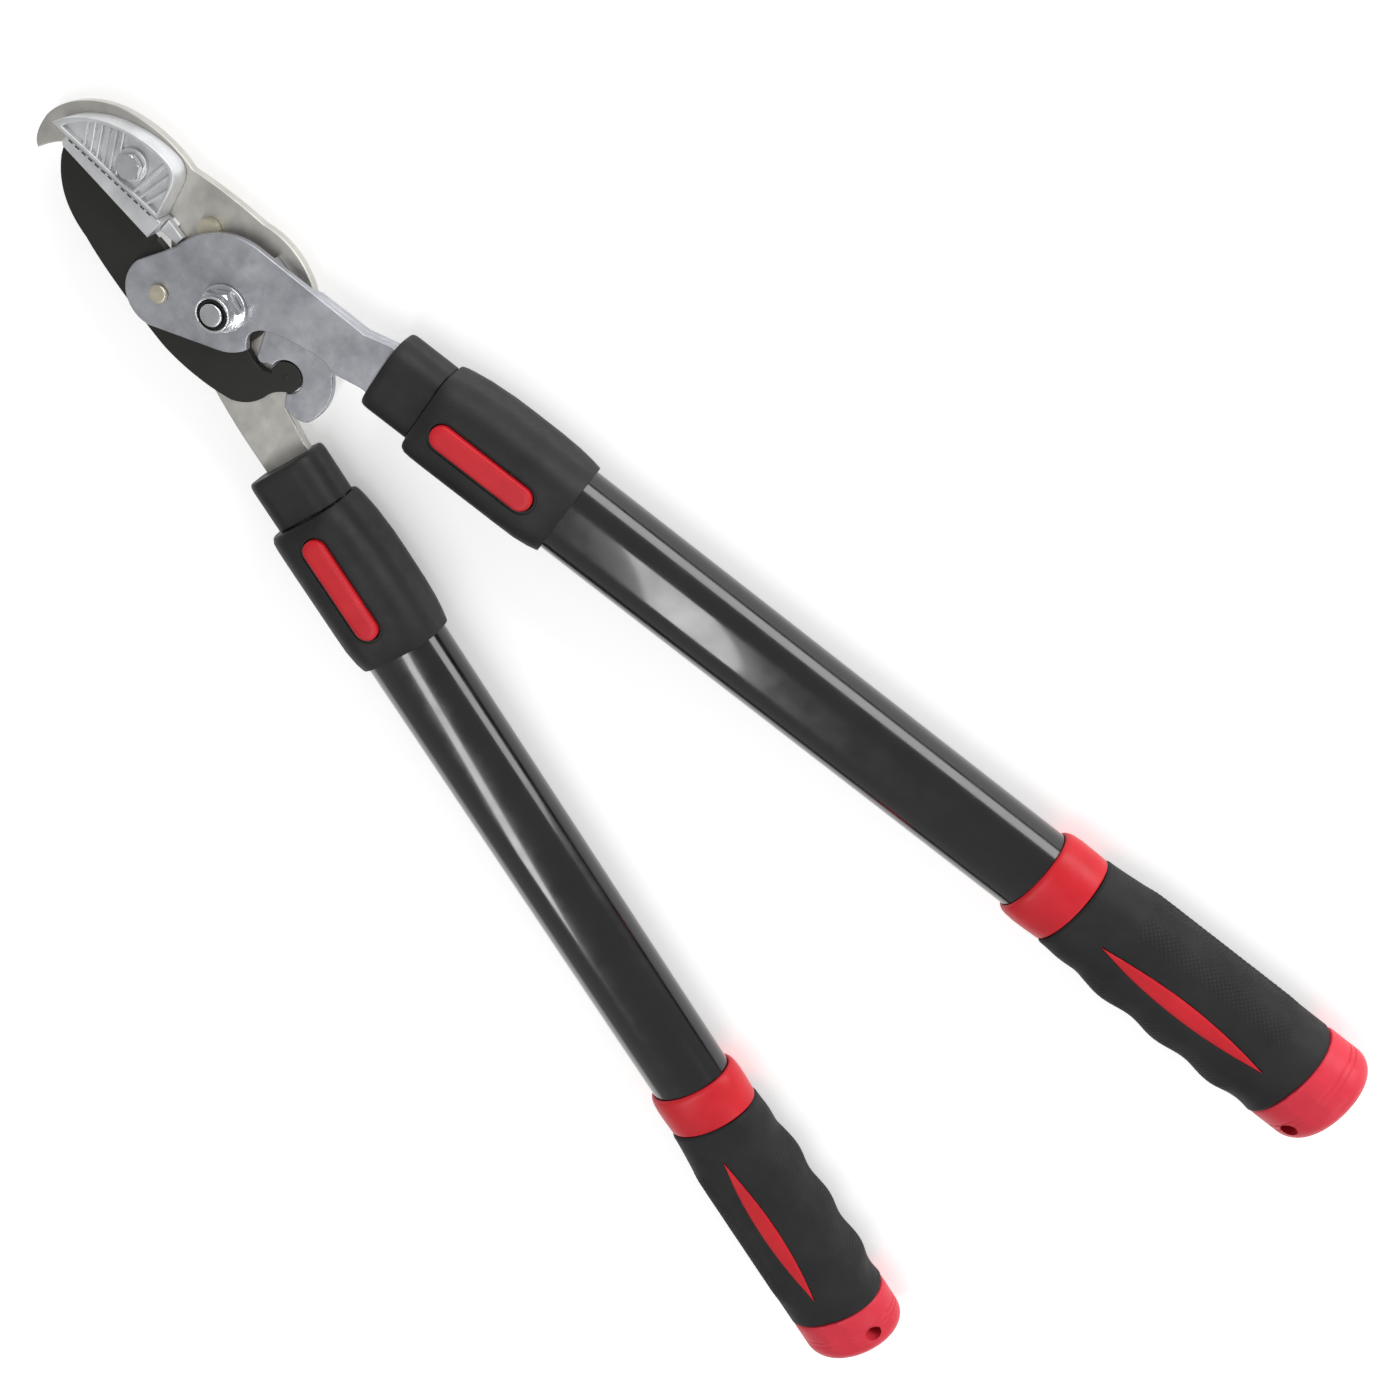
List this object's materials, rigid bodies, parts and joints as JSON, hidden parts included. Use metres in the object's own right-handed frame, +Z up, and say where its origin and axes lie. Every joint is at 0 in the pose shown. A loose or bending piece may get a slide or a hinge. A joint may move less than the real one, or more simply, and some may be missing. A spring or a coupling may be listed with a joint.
{
  "type": "anvil loppers",
  "caption": "Two-handed telescopic loppers with a hooked anvil, a coated single blade on a pivot bolt, oval telescoping handles with lock buttons and wavy grips",
  "frame": {"origin": "the middle of the underside of the whole tool, jaws shut and handles collapsed, on the surface that it lies on", "axes": "+Y points from the grips to the jaws, +Z up out of the side that carries the pivot nut and the lock buttons, +X to the right handle"},
  "size_m": [0.3322, 0.701, 0.042],
  "materials": {
    "satin": "satin bare-looking plated steel, warm grey",
    "casting": "fine-grained die casting, light grey",
    "bright_zinc": "bright zinc plating",
    "brass_plate": "yellow-passivated zinc plating",
    "zinc": "galvanised, mottled blue grey",
    "blade_coat": "near-black non-stick coating over hardened steel",
    "tube_metal": "plain drawn tube",
    "black_gloss": "gloss black enamel",
    "black_plastic": "moulded, fine spark texture",
    "grip_rubber": "soft moulded rubber, matt",
    "red_plastic": "moulded red plastic, half matt"
  },
  "bodies": {
    "left_arm": {"anvil_carrier": "satin", "anvil_holder": "casting", "anvil_strip": "casting", "strip_tab": "casting", "anvil_bolt": "bright_zinc", "anvil_nut": "bright_zinc", "stop_pin": "brass_plate", "pivot_bolt": "bright_zinc", "pivot_washer": "bright_zinc", "pivot_nut": "bright_zinc", "nut_ring": "black_plastic", "left_socket": "black_plastic", "left_arm_insert": "black_plastic", "left_inner_tube": "tube_metal", "left_slide_plug": "black_plastic", "left_tang_rivet": "bright_zinc"},
    "right_arm": {"blade": "blade_coat", "front_plate": "zinc", "claw_plate": "zinc", "blade_pin": "brass_plate", "right_socket": "black_plastic", "right_arm_insert": "black_plastic", "right_inner_tube": "tube_metal", "right_slide_plug": "black_plastic", "right_tang_rivet": "bright_zinc"},
    "left_grip_slide": {"left_lock_housing": "black_plastic", "left_lock_pin": "bright_zinc", "left_lock_spring": "bright_zinc", "left_outer_tube": "black_gloss", "left_grip_collar": "red_plastic", "left_grip": "grip_rubber", "left_inlay_front": "red_plastic", "left_inlay_back": "red_plastic", "left_end_cap": "red_plastic"},
    "left_lock": {"left_lock_button": "red_plastic"},
    "right_grip_slide": {"right_lock_housing": "black_plastic", "right_lock_pin": "bright_zinc", "right_lock_spring": "bright_zinc", "right_outer_tube": "black_gloss", "right_grip_collar": "red_plastic", "right_grip": "grip_rubber", "right_inlay_front": "red_plastic", "right_inlay_back": "red_plastic", "right_end_cap": "red_plastic"},
    "right_lock": {"right_lock_button": "red_plastic"}
  },
  "joints": [
    {"name": "jaw_pivot", "type": "hinge", "parent": "left_arm", "child": "right_arm", "pos_m": [0, 0.2441, 0.02], "axis": [0, 0, 1], "range_deg": [0, 48]},
    {"name": "left_telescope", "type": "slide", "parent": "left_arm", "child": "left_grip_slide", "axis": [-0.1994, -0.9799, 0], "range_m": [0, 0.26]},
    {"name": "left_lock_press", "type": "hinge", "parent": "left_grip_slide", "child": "left_lock", "pos_m": [-0.04898, 0.1112, 0.0386], "axis": [0.9799, -0.1994, 0], "range_deg": [0, 4], "stiffness_Nm_per_rad": 0.4, "springref_deg": -5.73},
    {"name": "right_telescope", "type": "slide", "parent": "right_arm", "child": "right_grip_slide", "axis": [0.1994, -0.9799, 0], "range_m": [0, 0.26]},
    {"name": "right_lock_press", "type": "hinge", "parent": "right_grip_slide", "child": "right_lock", "pos_m": [0.04898, 0.1112, 0.0386], "axis": [0.9799, 0.1994, 0], "range_deg": [0, 4], "stiffness_Nm_per_rad": 0.4, "springref_deg": -5.73}
  ]
}
